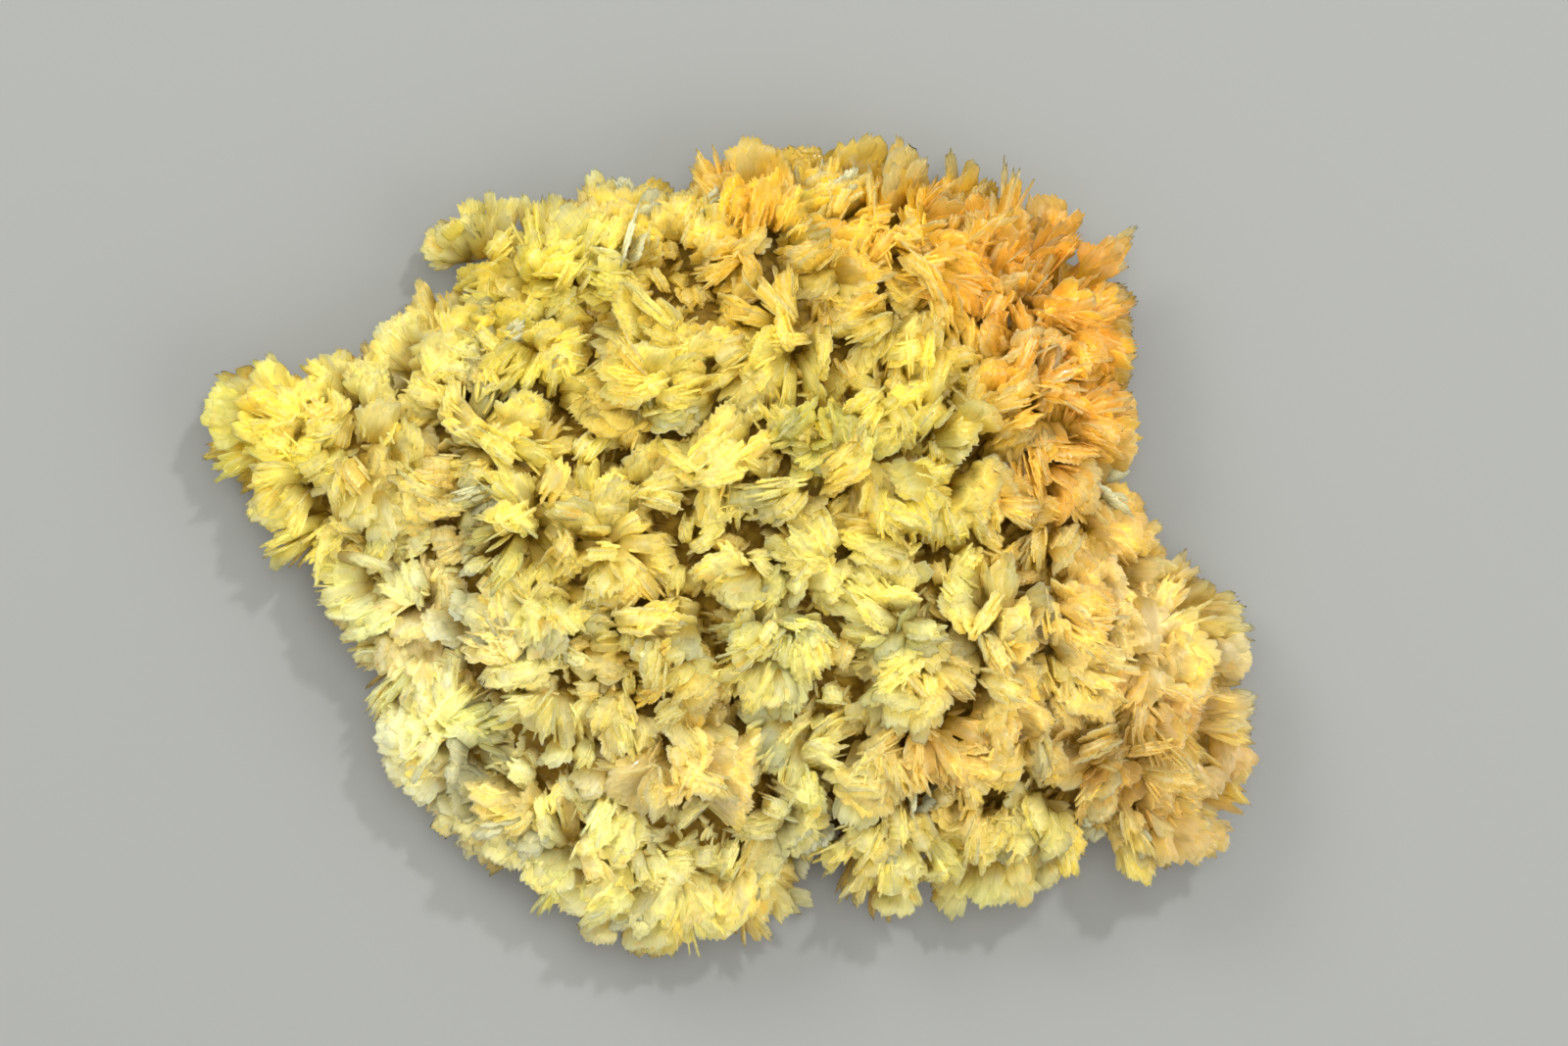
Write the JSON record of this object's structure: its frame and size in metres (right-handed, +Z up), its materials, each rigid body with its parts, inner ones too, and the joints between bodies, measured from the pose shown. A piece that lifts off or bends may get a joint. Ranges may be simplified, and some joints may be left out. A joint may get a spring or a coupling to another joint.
{
  "type": "barite specimen",
  "caption": "Cluster of yellow bladed barite crystals grown as one crust, lying on its flat broken back, for display or handling",
  "frame": {"origin": "middle of the specimen's outline seen from above, on the flat broken back that it rests on", "axes": "+X to the right along its longest side, +Y to the upper edge of the pictured face, +Z up, out of the pictured face"},
  "size_m": [0.12, 0.094, 0.0282],
  "materials": {
    "barite": "translucent yellow crystal blades, slightly glossy"
  },
  "bodies": {
    "root": {"barite_specimen": "barite"}
  },
  "joints": []
}
